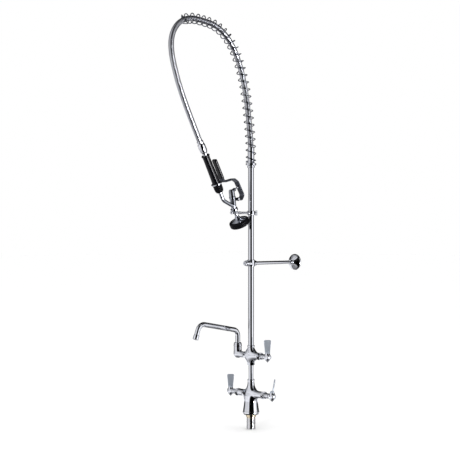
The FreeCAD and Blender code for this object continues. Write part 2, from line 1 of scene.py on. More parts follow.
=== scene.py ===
import math
import bmesh
import bpy
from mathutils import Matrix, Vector


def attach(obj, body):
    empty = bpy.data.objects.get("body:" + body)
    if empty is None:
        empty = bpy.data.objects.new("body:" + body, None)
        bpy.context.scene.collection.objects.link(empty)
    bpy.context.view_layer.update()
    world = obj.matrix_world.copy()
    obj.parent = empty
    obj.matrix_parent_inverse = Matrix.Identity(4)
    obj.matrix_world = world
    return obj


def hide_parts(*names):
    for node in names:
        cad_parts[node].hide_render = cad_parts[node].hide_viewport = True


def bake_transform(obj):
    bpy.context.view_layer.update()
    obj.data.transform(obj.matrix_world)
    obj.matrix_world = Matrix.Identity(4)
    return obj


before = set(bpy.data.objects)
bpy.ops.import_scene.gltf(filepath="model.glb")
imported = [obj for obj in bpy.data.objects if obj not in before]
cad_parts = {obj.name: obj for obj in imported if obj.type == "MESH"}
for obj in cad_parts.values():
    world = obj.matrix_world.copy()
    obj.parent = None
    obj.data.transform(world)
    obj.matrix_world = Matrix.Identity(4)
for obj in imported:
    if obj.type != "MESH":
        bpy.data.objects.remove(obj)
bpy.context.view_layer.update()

MM = 0.001
X, Y, Z = Vector((1, 0, 0)), Vector((0, 1, 0)), Vector((0, 0, 1))
ORIGIN = Vector((0, 0, 0))
TAU = 2 * math.pi


def mm(x, y, z):
    return Vector((x, y, z)) * MM


def placed(name, data):
    """A new object in the scene."""
    obj = bpy.data.objects.new(name, data)
    bpy.context.scene.collection.objects.link(obj)
    return obj


# ---------------------------------------------------------------- camera
VIEW_DISTANCE, VIEW_HEIGHT, VIEW_AIM = 3.435, 0.552, 0.063      # metres
SENSOR_WIDTH, LENS_LENGTH = 36.0, 89.6                          # millimetres


def make_camera():
    data = bpy.data.cameras.new("camera")
    data.sensor_width, data.lens = SENSOR_WIDTH, LENS_LENGTH
    camera = placed("camera", data)
    diagonal = Vector((1, -1, 0)).normalized()
    sideways = Vector((1, 1, 0)).normalized()
    camera.location = diagonal * VIEW_DISTANCE + Z * VIEW_HEIGHT
    target = -sideways * VIEW_AIM + Z * VIEW_HEIGHT
    camera.rotation_mode = "QUATERNION"
    camera.rotation_quaternion = (target - camera.location).to_track_quat("-Z", "Y")
    bpy.context.scene.camera = camera


make_camera()


# ---------------------------------------------------------------- node helpers
class Nodes:
    """A short way to add and link nodes in one tree."""

    def __init__(self, tree):
        self.tree = tree

    def add(self, kind, **values):
        node = self.tree.nodes.new(kind)
        for key, value in values.items():
            setattr(node, key, value)
        return node

    def link(self, source, target):
        self.tree.links.new(source, target)

    def put(self, socket, value):
        if isinstance(value, bpy.types.NodeSocket):
            self.link(value, socket)
        else:
            socket.default_value = value

    def math(self, operation, a, b=None, clamp=False):
        node = self.add("ShaderNodeMath", operation=operation, use_clamp=clamp)
        self.put(node.inputs[0], a)
        if b is not None:
            self.put(node.inputs[1], b)
        return node.outputs[0]

    def vector(self, operation, a, b=None, scale=None):
        node = self.add("ShaderNodeVectorMath", operation=operation)
        self.put(node.inputs[0], a)
        if b is not None:
            self.put(node.inputs[1], b)
        if scale is not None:
            self.put(node.inputs["Scale"], scale)
        return node.outputs[0]

    def ramp(self, factor, stops):
        node = self.add("ShaderNodeValToRGB")
        while len(node.color_ramp.elements) > 1:
            node.color_ramp.elements.remove(node.color_ramp.elements[0])
        for i, (place, colour) in enumerate(stops):
            if i == 0:
                element = node.color_ramp.elements[0]
                element.position = place
            else:
                element = node.color_ramp.elements.new(place)
            element.color = (*colour, 1.0)
        self.link(factor, node.inputs[0])
        return node.outputs[0]


def surface(name, metallic=0.0, ior=1.5):
    """A new material with its nodes, its shader and its Object coordinates."""
    material = bpy.data.materials.new(name)
    material.use_nodes = True
    nodes = Nodes(material.node_tree)
    shader = material.node_tree.nodes["Principled BSDF"]
    shader.inputs["Metallic"].default_value = metallic
    shader.inputs["IOR"].default_value = ior
    place = nodes.add("ShaderNodeTexCoord").outputs["Object"]
    return material, nodes, shader, place


def noise(nodes, place, scale, detail=3.0, rough=0.5):
    node = nodes.add("ShaderNodeTexNoise")
    nodes.link(place, node.inputs["Vector"])
    node.inputs["Scale"].default_value = scale
    node.inputs["Detail"].default_value = detail
    node.inputs["Roughness"].default_value = rough
    return node.outputs["Fac"]


NOISE_LOW, NOISE_HIGH = 0.3, 0.7        # where most of a noise texture's values lie


def spread(nodes, value, low, high):
    """Stretch a noise value over a range."""
    node = nodes.add("ShaderNodeMapRange")
    nodes.link(value, node.inputs["Value"])
    node.inputs["From Min"].default_value = NOISE_LOW
    node.inputs["From Max"].default_value = NOISE_HIGH
    node.inputs["To Min"].default_value = low
    node.inputs["To Max"].default_value = high
    return node.outputs["Result"]


def bump(nodes, shader, height, strength, distance):
    node = nodes.add("ShaderNodeBump")
    node.inputs["Strength"].default_value = strength
    node.inputs["Distance"].default_value = distance
    nodes.link(height, node.inputs["Height"])
    nodes.link(node.outputs["Normal"], shader.inputs["Normal"])


# ---------------------------------------------------------------- materials
def plated(name, low, high, gloss, waviness, wave_scale, metallic=1.0):
    """Plating: a tint that wanders from low to high, wiping marks in the gloss, and waviness."""
    material, nodes, shader, place = surface(name, metallic=metallic)
    drift = noise(nodes, place, 9.0, 2.0)
    nodes.link(nodes.ramp(drift, [(NOISE_LOW, low), (NOISE_HIGH, high)]),
               shader.inputs["Base Color"])
    wipes = noise(nodes, place, 140.0, 4.0, 0.65)
    nodes.link(spread(nodes, wipes, gloss[0], gloss[1]), shader.inputs["Roughness"])
    bump(nodes, shader, noise(nodes, place, wave_scale, 2.0), waviness, 0.0006)
    return material


def polymer(name, colour, rough, grain_scale, grain, shine=0.14):
    """Moulded plastic or rubber with a fine grain and a slightly lighter variation."""
    material, nodes, shader, place = surface(name, ior=1.36)
    shader.inputs["Specular IOR Level"].default_value = shine
    shade = noise(nodes, place, 35.0, 4.0)
    lighter = tuple(c * 1.9 + 0.001 for c in colour)
    nodes.link(nodes.ramp(shade, [(0.35, colour), (0.75, lighter)]), shader.inputs["Base Color"])
    wear = noise(nodes, place, 90.0, 3.0)
    nodes.link(spread(nodes, wear, rough[0], rough[1]), shader.inputs["Roughness"])
    bump(nodes, shader, noise(nodes, place, grain_scale, 5.0), grain, 0.0002)
    return material


BARE_FROM, BARE_TO = -0.013, -0.008     # the plating gives way to brass between these heights


def turned_brass():
    """Bright plating on brass; the bare brass shows on the step just under the gasket."""
    material, nodes, shader, place = surface("turned_brass", metallic=1.0)
    split = nodes.add("ShaderNodeSeparateXYZ")
    nodes.link(place, split.inputs[0])
    bare = nodes.add("ShaderNodeMapRange")
    nodes.link(split.outputs["Z"], bare.inputs["Value"])
    bare.inputs["From Min"].default_value = BARE_FROM
    bare.inputs["From Max"].default_value = BARE_TO
    tone = noise(nodes, place, 60.0, 4.0)
    brass = nodes.ramp(tone, [(NOISE_LOW, (0.72, 0.60, 0.40)), (NOISE_HIGH, (0.88, 0.79, 0.60))])
    nickel = nodes.ramp(tone, [(NOISE_LOW, (0.66, 0.66, 0.66)), (NOISE_HIGH, (0.78, 0.78, 0.79))])
    mix = nodes.add("ShaderNodeMix", data_type="RGBA")
    nodes.link(bare.outputs["Result"], mix.inputs["Factor"])
    nodes.link(nickel, mix.inputs["A"])
    nodes.link(brass, mix.inputs["B"])
    nodes.link(mix.outputs["Result"], shader.inputs["Base Color"])
    nodes.link(spread(nodes, tone, 0.12, 0.24), shader.inputs["Roughness"])
    bump(nodes, shader, tone, 0.08, 0.0001)
    return material


def satin_steel(name, low, high):
    """Steel with brush marks that run along Z."""
    material, nodes, shader, place = surface(name, metallic=1.0)
    stretch = nodes.add("ShaderNodeMapping")
    nodes.link(place, stretch.inputs["Vector"])
    stretch.inputs["Scale"].default_value = (1.0, 1.0, 0.12)
    brushed = noise(nodes, stretch.outputs[0], 900.0, 3.0, 0.7)
    nodes.link(nodes.ramp(brushed, [(NOISE_LOW, low), (NOISE_HIGH, high)]),
               shader.inputs["Base Color"])
    nodes.link(spread(nodes, brushed, 0.24, 0.38), shader.inputs["Roughness"])
    bump(nodes, shader, brushed, 0.1, 0.0001)
    return material


BRIGHT = (0.80, 0.82, 0.86), (0.88, 0.89, 0.92)
CHROME = plated("chrome_plate", *BRIGHT, (0.035, 0.085), 0.10, 42.0)
TUBE_CHROME = plated("chrome_tube", *BRIGHT, (0.04, 0.06), 0.004, 20.0)
DARK_CHROME = plated("dark_chrome", (0.045, 0.050, 0.060), (0.085, 0.090, 0.105), (0.12, 0.20),
                     0.05, 60.0)
LEVER_CHROME = plated("lever_satin_chrome", (0.50, 0.55, 0.63), (0.60, 0.65, 0.72), (0.34, 0.42),
                      0.05, 60.0, metallic=0.6)
SPRAY_CHROME = plated("spray_chrome", (0.36, 0.38, 0.42), (0.50, 0.52, 0.56), (0.06, 0.12), 0.08,
                      60.0)
SPRING_WIRE = plated("spring_wire", (0.17, 0.18, 0.21), (0.26, 0.27, 0.31), (0.10, 0.18), 0.04,
                     160.0)
BRAID_WIRE = plated("braid_wire", (0.52, 0.53, 0.56), (0.60, 0.61, 0.64), (0.27, 0.33), 0.03,
                    300.0)
HOSE_CORE = plated("hose_core", (0.10, 0.10, 0.11), (0.16, 0.16, 0.17), (0.3, 0.4), 0.1, 300.0)
RUBBER = polymer("black_rubber", (0.003, 0.003, 0.004), (0.30, 0.46), 1400.0, 0.2)
GRIP = polymer("black_grip", (0.002, 0.002, 0.003), (0.06, 0.09), 1100.0, 0.01, shine=0.60)
SEAL = polymer("seal_rubber", (0.010, 0.010, 0.011), (0.4, 0.5), 1200.0, 0.2)
BRASS = turned_brass()
CARTRIDGE = polymer("white_moulding", (0.42, 0.42, 0.40), (0.35, 0.45), 900.0, 0.05, shine=0.4)
STEEL = satin_steel("satin_steel", (0.55, 0.56, 0.58), (0.70, 0.71, 0.73))


# ---------------------------------------------------------------- mesh helpers
def solid(name, verts, faces, material):
    mesh = bpy.data.meshes.new(name)
    mesh.from_pydata([tuple(v) for v in verts], [], faces)
    mesh.materials.append(material)
    mesh.validate()
    return placed(name, mesh)


def edge_smooth(obj, angle=38.0):
    """Smooth shading, with a hard edge where two faces meet at more than the angle."""
    mesh = obj.data
    bm = bmesh.new()
    bm.from_mesh(mesh)
    limit = math.radians(angle)
    for face in bm.faces:
        face.smooth = True
    for edge in bm.edges:
        edge.smooth = len(edge.link_faces) == 2 and edge.calc_face_angle(0.0) < limit
    bm.to_mesh(mesh)
    bm.free()


def outward(obj):
    """Merge doubled points and turn every face outwards."""
    bm = bmesh.new()
    bm.from_mesh(obj.data)
    bmesh.ops.remove_doubles(bm, verts=bm.verts, dist=1e-7)
    bmesh.ops.recalc_face_normals(bm, faces=bm.faces)
    bm.to_mesh(obj.data)
    bm.free()


def across_axis(axis):
    """Two directions square to an axis."""
    axis = axis.normalized()
    side = X if abs(axis.dot(X)) < 0.9 else Y
    first = (side - axis * side.dot(axis)).normalized()
    return first, axis.cross(first)


def softened(profile, radius, steps=4):
    """Round the corners of a (height, radius) outline."""
    out = [profile[0]]
    for i in range(1, len(profile) - 1):
        p, a, b = Vector(profile[i]), Vector(profile[i - 1]), Vector(profile[i + 1])
        back, ahead = a - p, b - p
        if back.length < 1e-9 or ahead.length < 1e-9:
            continue
        turn = math.pi - back.angle(ahead)
        if turn < 0.2:
            out.append(tuple(p))
            continue
        reach = min(radius * math.tan(turn / 2), 0.45 * back.length, 0.45 * ahead.length)
        p1, p2 = p + back.normalized() * reach, p + ahead.normalized() * reach
        for k in range(steps + 1):
            t = k / steps
            out.append(tuple(p1.lerp(p, t).lerp(p.lerp(p2, t), t)))
    out.append(profile[-1])
    return out


def lathe(name, foot, axis, profile, material, soft=0.4, sides=96, radius_of=None):
    """Turn (height, radius) points in millimetres about an axis.

    radius_of(h, r, turn) may shape the section. An outline that ends where it starts makes a ring;
    any other is closed at both ends.
    """
    axis = axis.normalized()
    first, second = across_axis(axis)
    outline = softened(profile, soft) if soft else profile
    verts, faces = [], []
    for h, r in outline:
        for k in range(sides):
            turn = TAU * k / sides
            reach = radius_of(h, r, turn) if radius_of else r
            spoke = first * (reach * math.cos(turn)) + second * (reach * math.sin(turn))
            verts.append(foot + (axis * h + spoke) * MM)
    rows = len(outline)
    for i in range(rows - 1):
        for k in range(sides):
            n = (k + 1) % sides
            faces.append((i * sides + k, i * sides + n, (i + 1) * sides + n, (i + 1) * sides + k))
    if outline[0] != outline[-1]:
        faces.append(tuple(range(sides - 1, -1, -1)))
        faces.append(tuple(range((rows - 1) * sides, rows * sides)))
    obj = solid(name, verts, faces, material)
    outward(obj)
    edge_smooth(obj)
    return obj


def hexagon(across, low, high):
    """A section shaper: hexagonal between two heights."""
    def shape(h, r, turn):
        if not low <= h <= high:
            return r
        fold = turn % (math.pi / 3) - math.pi / 6
        return min(r, across / 2 / math.cos(fold))
    return shape


def arc_path(points, radii, step_angle=4.0):
    """Straight runs joined by arcs, as points."""
    path = [points[0]]
    for i in range(1, len(points) - 1):
        a, b = (points[i - 1] - points[i]).normalized(), (points[i + 1] - points[i]).normalized()
        half = (math.pi - a.angle(b)) / 2
        back = radii[i - 1] * math.tan(half)
        middle = (a + b).normalized()
        centre = points[i] + middle * (radii[i - 1] / math.cos(half))
        start = points[i] + a * back - centre
        normal = start.cross(points[i] + b * back - centre).normalized()
        count = max(4, int(math.degrees(2 * half) / step_angle))
        for k in range(count + 1):
            t = 2 * half * k / count
            path.append(centre + start * math.cos(t) + normal.cross(start) * math.sin(t))
    path.append(points[-1])
    return path


def frames(path):
    """Tangent and two side directions at each point, without twist."""
    out, side = [], None
    for i, p in enumerate(path):
        ahead = path[min(i + 1, len(path) - 1)] - path[max(i - 1, 0)]
        t = ahead.normalized()
        if side is None:
            side = across_axis(t)[0]
        side = (side - t * side.dot(t)).normalized()
        out.append((t, side, t.cross(side)))
    return out


def sweep(name, path, section, material):
    """Carry a closed section, (u, v) points in metres, along a path and cap both ends."""
    verts, faces, count = [], [], len(section)
    for p, (_, a, b) in zip(path, frames(path)):
        verts += [p + a * u + b * v for u, v in section]
    for i in range(len(path) - 1):
        for j in range(count):
            n = (j + 1) % count
            faces.append((i * count + j, i * count + n, (i + 1) * count + n, (i + 1) * count + j))
    faces.append(tuple(range(count - 1, -1, -1)))
    faces.append(tuple(range((len(path) - 1) * count, len(path) * count)))
    obj = solid(name, verts, faces, material)
    outward(obj)
    edge_smooth(obj)
    return obj


def disc_section(radius, sides=48):
    return [(radius * MM * math.cos(TAU * k / sides), radius * MM * math.sin(TAU * k / sides))
            for k in range(sides)]


def joined(name, objects):
    bpy.ops.object.select_all(action="DESELECT")
    for obj in objects:
        obj.select_set(True)
    bpy.context.view_layer.objects.active = objects[0]
    bpy.ops.object.join()
    objects[0].name = objects[0].data.name = name
    return objects[0]


def settled(obj, name, material):
    """The evaluated mesh of an object, as a plain piece, without its modifiers."""
    bpy.context.view_layer.update()
    graph = bpy.context.evaluated_depsgraph_get()
    mesh = bpy.data.meshes.new_from_object(obj.evaluated_get(graph))
    mesh.name = name
    old = obj.data
    bpy.data.objects.remove(obj)
    if old.users == 0 and isinstance(old, bpy.types.Mesh):
        bpy.data.meshes.remove(old)
    made = placed(name, mesh)
    mesh.materials.clear()
    mesh.materials.append(material)
    return made


def cast_from(node, material, voxel, rounds, name=None):
    """A casting: the frame's solid remeshed finely, with its edges and inner corners eased."""
    obj = placed(node + "_rough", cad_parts[node].data.copy())
    outward(obj)
    remesh = obj.modifiers.new("remesh", "REMESH")
    remesh.mode, remesh.voxel_size, remesh.adaptivity = "VOXEL", voxel * MM, 0.0
    ease = obj.modifiers.new("ease", "SMOOTH")
    ease.factor, ease.iterations = 0.5, rounds
    made = settled(obj, name or node + "_cast", material)
    edge_smooth(made, 50.0)
    return made


def show(obj, body, slot, *nodes):
    """Put a piece on its body, in place of the frame nodes named; the slot is not used."""
    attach(obj, body)
    if nodes:
        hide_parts(*nodes)
    return obj


def finish_node(node, material):
    """Keep a frame node's own shape and give it a finish."""
    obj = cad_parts[node]
    obj.data.materials.clear()
    obj.data.materials.append(material)


# ---------------------------------------------------------------- hose
HOSE_RADIUS = 8.0       # millimetres, as are the next two lines and the route
CORE_RADIUS, BRAID_RADIUS = HOSE_RADIUS - 0.5, HOSE_RADIUS - 0.38
BRAID_WIRE_R, BRAID_WEAVE = 0.26, 0.09
BRAID_PITCH, BRAID_STEP = 0.042, 0.0015     # metres
BRAID_STRANDS, BRAID_FLATNESS = 10, 4.6
HOSE_ROUTE = [(0, 752), (0, 796), (5, 848), (13, 912), (25, 975), (42, 1030), (66, 1081),
              (101, 1123), (147, 1149), (200, 1156), (250, 1158), (293, 1137), (317, 1098),
              (317, 1052), (302, 1001), (283, 950), (241.4, 866.8), (200.7, 793.3)]


def route_curve(name, points, resolution):
    curve = bpy.data.curves.new(name, "CURVE")
    curve.dimensions = "3D"
    curve.resolution_u = resolution
    spline = curve.splines.new("NURBS")
    spline.points.add(len(points) - 1)
    for i, p in enumerate(points):
        spline.points[i].co = (*p, 1.0)
    spline.order_u = 3
    spline.use_endpoint_u = True
    return placed(name, curve)


def centreline(points, resolution=24):
    obj = route_curve("route", points, resolution)
    bpy.context.view_layer.update()
    graph = bpy.context.evaluated_depsgraph_get()
    mesh = bpy.data.meshes.new_from_object(obj.evaluated_get(graph))
    line = [v.co.copy() for v in mesh.vertices]
    bpy.data.objects.remove(obj)
    bpy.data.meshes.remove(mesh)
    return line


hose_line = centreline([mm(0, -out, up) for out, up in HOSE_ROUTE])


def line_length(line):
    return sum((b - a).length for a, b in zip(line, line[1:]))


def even(line, step):
    """The same line with points a constant distance apart."""
    total = line_length(line)
    count = max(2, round(total / step))
    out, travelled, i = [], 0.0, 0
    for k in range(count + 1):
        want = min(total * k / count, total - 1e-9)
        while travelled + (line[i + 1] - line[i]).length < want:
            travelled += (line[i + 1] - line[i]).length
            i += 1
        share = (want - travelled) / (line[i + 1] - line[i]).length
        out.append(line[i].lerp(line[i + 1], share))
    return out


def tree_of(name, sockets):
    """A geometry tree with a geometry input, named values and a geometry output."""
    tree = bpy.data.node_groups.new(name, "GeometryNodeTree")
    tree.interface.new_socket("Geometry", in_out="INPUT", socket_type="NodeSocketGeometry")
    for label, kind in sockets:
        tree.interface.new_socket(label, in_out="INPUT", socket_type=kind)
    tree.interface.new_socket("Geometry", in_out="OUTPUT", socket_type="NodeSocketGeometry")
    nodes = Nodes(tree)
    return tree, nodes, nodes.add("NodeGroupInput"), nodes.add("NodeGroupOutput")


def with_tree(obj, tree, values):
    modifier = obj.modifiers.new("shape", "NODES")
    modifier.node_group = tree
    identifiers = {item.name: item.identifier for item in tree.interface.items_tree
                   if item.in_out == "INPUT" and item.socket_type != "NodeSocketGeometry"}
    for label, value in values.items():
        modifier[identifiers[label]] = value
    return obj


def wound_wire_tree():
    """Wind one wire or several round a line, with closed ends if asked."""
    tree, g, ins, outs = tree_of("wound_wire", [
        ("Radius", "NodeSocketFloat"), ("Wire", "NodeSocketFloat"), ("Pitch", "NodeSocketFloat"),
        ("End turns", "NodeSocketFloat"), ("End length", "NodeSocketFloat"),
        ("Line length", "NodeSocketFloat"), ("Weave", "NodeSocketFloat"),
        ("Strands", "NodeSocketInt"), ("Hand", "NodeSocketFloat"), ("Step", "NodeSocketFloat"),
        ("Flatness", "NodeSocketFloat"), ("Sides", "NodeSocketInt"),
        ("Material", "NodeSocketMaterial")])
    copies = g.add("GeometryNodeDuplicateElements", domain="SPLINE")
    g.link(ins.outputs["Geometry"], copies.inputs["Geometry"])
    g.link(ins.outputs["Strands"], copies.inputs["Amount"])
    steps = g.add("GeometryNodeResampleCurve", mode="LENGTH")
    g.link(ins.outputs["Step"], steps.inputs["Length"])
    keep = g.add("GeometryNodeStoreNamedAttribute", data_type="INT", domain="CURVE")
    keep.inputs["Name"].default_value = "strand"
    g.link(copies.outputs["Geometry"], keep.inputs["Geometry"])
    g.link(copies.outputs["Duplicate Index"], keep.inputs["Value"])
    g.link(keep.outputs["Geometry"], steps.inputs["Curve"])
    strand = g.add("GeometryNodeInputNamedAttribute", data_type="INT")
    strand.inputs["Name"].default_value = "strand"
    distance = g.add("GeometryNodeSplineParameter").outputs["Length"]
    share = g.math("DIVIDE", strand.outputs["Attribute"], ins.outputs["Strands"])
    turns = g.math("ADD", g.math("DIVIDE", distance, ins.outputs["Pitch"]), share)
    first_end = g.math("DIVIDE", distance, ins.outputs["End length"], clamp=True)
    from_last = g.math("SUBTRACT", ins.outputs["Line length"], distance)
    last_end = g.math("SUBTRACT", 1.0, g.math("DIVIDE", from_last, ins.outputs["End length"],
                                              clamp=True))
    ends = g.math("MULTIPLY", g.math("ADD", first_end, last_end), ins.outputs["End turns"])
    angle = g.math("MULTIPLY", g.math("MULTIPLY", g.math("ADD", turns, ends), TAU),
                   ins.outputs["Hand"])
    over = g.math("COSINE", g.math("MULTIPLY", g.math("DIVIDE", distance, ins.outputs["Pitch"]),
                                   g.math("MULTIPLY", ins.outputs["Strands"], TAU)))
    lift = g.math("MULTIPLY", g.math("MULTIPLY", over, ins.outputs["Weave"]), ins.outputs["Hand"])
    radius = g.math("ADD", ins.outputs["Radius"], lift)
    tangent = g.add("GeometryNodeInputTangent").outputs[0]
    across = g.vector("NORMALIZE", g.vector("CROSS_PRODUCT", (1.0, 0.0, 0.0), tangent))
    part_a = g.vector("SCALE", (1.0, 0.0, 0.0),
                      scale=g.math("MULTIPLY", radius, g.math("COSINE", angle)))
    part_b = g.vector("SCALE", across, scale=g.math("MULTIPLY", radius, g.math("SINE", angle)))
    out = g.vector("ADD", part_a, part_b)
    note = g.add("GeometryNodeStoreNamedAttribute", data_type="FLOAT_VECTOR", domain="POINT")
    note.inputs["Name"].default_value = "outward"
    g.link(steps.outputs["Curve"], note.inputs["Geometry"])
    g.link(g.vector("NORMALIZE", out), note.inputs["Value"])
    move = g.add("GeometryNodeSetPosition")
    g.link(note.outputs["Geometry"], move.inputs["Geometry"])
    g.link(out, move.inputs["Offset"])
    ring = g.add("GeometryNodeCurvePrimitiveCircle")
    g.link(ins.outputs["Wire"], ring.inputs["Radius"])
    g.link(ins.outputs["Sides"], ring.inputs["Resolution"])
    flat = g.add("GeometryNodeTransform")
    g.link(ring.outputs["Curve"], flat.inputs["Geometry"])
    squash = g.add("ShaderNodeCombineXYZ")
    squash.inputs["X"].default_value = 1.0
    g.link(ins.outputs["Flatness"], squash.inputs["Y"])
    squash.inputs["Z"].default_value = 1.0
    g.link(squash.outputs[0], flat.inputs["Scale"])
    facing = g.add("GeometryNodeSetCurveNormal")
    facing.mode = "FREE"
    g.link(move.outputs["Geometry"], facing.inputs["Curve"])
    away = g.add("GeometryNodeInputNamedAttribute", data_type="FLOAT_VECTOR")
    away.inputs["Name"].default_value = "outward"
    g.link(away.outputs["Attribute"], facing.inputs["Normal"])
    tube = g.add("GeometryNodeCurveToMesh")
    tube.inputs["Fill Caps"].default_value = True
    g.link(facing.outputs["Curve"], tube.inputs["Curve"])
    g.link(flat.outputs["Geometry"], tube.inputs["Profile Curve"])
    smooth = g.add("GeometryNodeSetShadeSmooth")
    g.link(tube.outputs["Mesh"], smooth.inputs["Geometry"])
    real = g.add("GeometryNodeRealizeInstances")
    g.link(smooth.outputs["Geometry"], real.inputs["Geometry"])
    finish = g.add("GeometryNodeSetMaterial")
    g.link(real.outputs["Geometry"], finish.inputs["Geometry"])
    g.link(ins.outputs["Material"], finish.inputs["Material"])
    g.link(finish.outputs["Geometry"], outs.inputs["Geometry"])
    return tree


WOUND = wound_wire_tree()


def wound(name, line, material, **values):
    """Wire wound round a line; sizes in metres."""
    curve = bpy.data.curves.new(name + "_line", "CURVE")
    curve.dimensions = "3D"
    spline = curve.splines.new("POLY")
    spline.points.add(len(line) - 1)
    for i, p in enumerate(line):
        spline.points[i].co = (*p, 1.0)
    obj = placed(name + "_line", curve)
    settings = {"End turns": 0.0, "End length": 0.01, "Line length": line_length(line),
                "Weave": 0.0, "Strands": 1, "Hand": 1.0, "Sides": 10, "Flatness": 1.0,
                "Material": material}
    settings.update(values)
    with_tree(obj, WOUND, settings)
    made = settled(obj, name, material)
    outward(made)
    edge_smooth(made, 60.0)
    return made


def make_hose():
    core = sweep("hose_core", even(hose_line, 0.003), disc_section(CORE_RADIUS, 40), HOSE_CORE)
    parts = []
    for hand, label in ((1.0, "right"), (-1.0, "left")):
        parts.append(wound("braid_" + label, hose_line, BRAID_WIRE, Radius=BRAID_RADIUS * MM,
                           Wire=BRAID_WIRE_R * MM, Flatness=BRAID_FLATNESS, Pitch=BRAID_PITCH,
                           Strands=BRAID_STRANDS, Hand=hand, Weave=BRAID_WEAVE * MM,
                           Step=BRAID_STEP, Sides=6))
    braid = joined("hose_braid", parts)
    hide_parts("hose")
    for obj in (core, braid):
        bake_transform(obj)


make_hose()


# ---------------------------------------------------------------- guide spring
SPRING_END_Y, COIL_PITCH = -0.2726, 0.0212      # metres
COIL_RADIUS, COIL_WIRE_R = 14.4, 1.5            # millimetres


def make_spring():
    line = even(hose_line, 0.002)
    stop = next(i for i, p in enumerate(line) if p.y <= SPRING_END_Y)
    line = line[:stop + 1]
    base = line[0] + Z * 0.0020
    line = [base] + [p for p in line if p.z > base.z + 0.0005]
    spring = wound("spring_coil", line, SPRING_WIRE, Radius=COIL_RADIUS * MM,
                   Wire=COIL_WIRE_R * MM, Pitch=COIL_PITCH, Step=0.0011, Sides=14,
                   **{"End turns": 1.6, "End length": 0.006})
    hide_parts("guide_spring")
    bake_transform(spring)


make_spring()


# ---------------------------------------------------------------- base
SHANK_R, SHANK_END, THREAD_TOP = 13.2, -43.0, -9.5
THREAD_PITCH, THREAD_DEPTH, THREAD_STEP = 1.81, 0.26, 0.25
SKIN_DENSITY, DENSITY_PER_METRE = 50.0, -1000.0     # how a distance becomes a casting's density


def thread(h, r, turn):
    if r < 12.5:
        return r
    saw = abs(((h / THREAD_PITCH - turn / TAU) % 1.0) * 2 - 1)
    ease = min(1.0, (THREAD_TOP - h) / 1.5, (h - SHANK_END) / 1.2)
    return r - THREAD_DEPTH * saw * max(0.0, ease)


class Field(Nodes):
    """Distance fields for castings, in metres: barrels and rods with soft inner corners."""

    def apart(self, place, centre):
        split = self.add("ShaderNodeSeparateXYZ")
        self.link(self.vector("SUBTRACT", place, tuple(centre)), split.inputs[0])
        return [split.outputs[i] for i in range(3)]

    def barrel(self, place, centre, axis, half, radii, edge=0.0015):
        """A turned shape about an axis; radii are (share of the length, radius)."""
        parts = self.apart(place, centre)
        along, others = parts[axis], [parts[i] for i in range(3) if i != axis]
        across = self.math("SQRT", self.math("ADD", self.math("MULTIPLY", others[0], others[0]),
                                             self.math("MULTIPLY", others[1], others[1])))
        share = self.math("ADD", self.math("DIVIDE", along, 2 * half), 0.5, clamp=True)
        curve = self.add("ShaderNodeFloatCurve")
        largest = max(r for _, r in radii)
        line = curve.mapping.curves[0]
        for i, (x, r) in enumerate(radii):
            if i < 2:
                line.points[i].location = (x, r / largest)
            else:
                line.points.new(x, r / largest)
        curve.mapping.update()
        self.link(share, curve.inputs["Value"])
        radius = self.math("MULTIPLY", curve.outputs[0], largest)
        side = self.math("SUBTRACT", across, radius)
        ends = self.math("SUBTRACT", self.math("ABSOLUTE", along), half)
        return self.soft("SMOOTH_MAX", side, ends, edge)

    def soft(self, operation, a, b, reach):
        node = self.add("ShaderNodeMath", operation=operation)
        self.put(node.inputs[0], a)
        self.put(node.inputs[1], b)
        node.inputs[2].default_value = reach
        return node.outputs[0]

    def round_rod(self, place, start, axis, length, radius):
        """A rod with ball ends, along one axis."""
        parts = self.apart(place, start)
        clamp = self.add("ShaderNodeClamp")
        self.link(parts[axis], clamp.inputs["Value"])
        clamp.inputs["Min"].default_value = min(0, length)
        clamp.inputs["Max"].default_value = max(0, length)
        parts[axis] = self.math("SUBTRACT", parts[axis], clamp.outputs[0])
        squares = [self.math("MULTIPLY", part, part) for part in parts]
        total = self.math("ADD", self.math("ADD", squares[0], squares[1]), squares[2])
        return self.math("SUBTRACT", self.math("SQRT", total), radius)


def casting(name, low, high, voxel, material, build):
    """A casting made from a distance field: build(field, place) returns the distance."""
    tree, _, ins, outs = tree_of(name, [("Material", "NodeSocketMaterial")])
    g = Field(tree)
    place = g.add("GeometryNodeInputPosition").outputs[0]
    depth = g.math("MULTIPLY", build(g, place), DENSITY_PER_METRE)
    cube = g.add("GeometryNodeVolumeCube")
    g.link(g.math("ADD", depth, SKIN_DENSITY), cube.inputs["Density"])
    cube.inputs["Min"].default_value, cube.inputs["Max"].default_value = low, high
    for i, axis in enumerate("XYZ"):
        cube.inputs["Resolution " + axis].default_value = round((high[i] - low[i]) / (voxel * MM))
    skin = g.add("GeometryNodeVolumeToMesh")
    skin.inputs["Threshold"].default_value = SKIN_DENSITY
    g.link(cube.outputs["Volume"], skin.inputs["Volume"])
    finish = g.add("GeometryNodeSetMaterial")
    real = g.add("GeometryNodeRealizeInstances")
    g.link(skin.outputs["Mesh"], real.inputs["Geometry"])
    g.link(real.outputs["Geometry"], finish.inputs["Geometry"])
    g.link(ins.outputs["Material"], finish.inputs["Material"])
    g.link(finish.outputs["Geometry"], outs.inputs["Geometry"])
    holder = placed(name, bpy.data.meshes.new(name))
    with_tree(holder, tree, {"Material": material})
    made = settled(holder, name, material)
    outward(made)
    edge_smooth(made, 45.0)
    return made


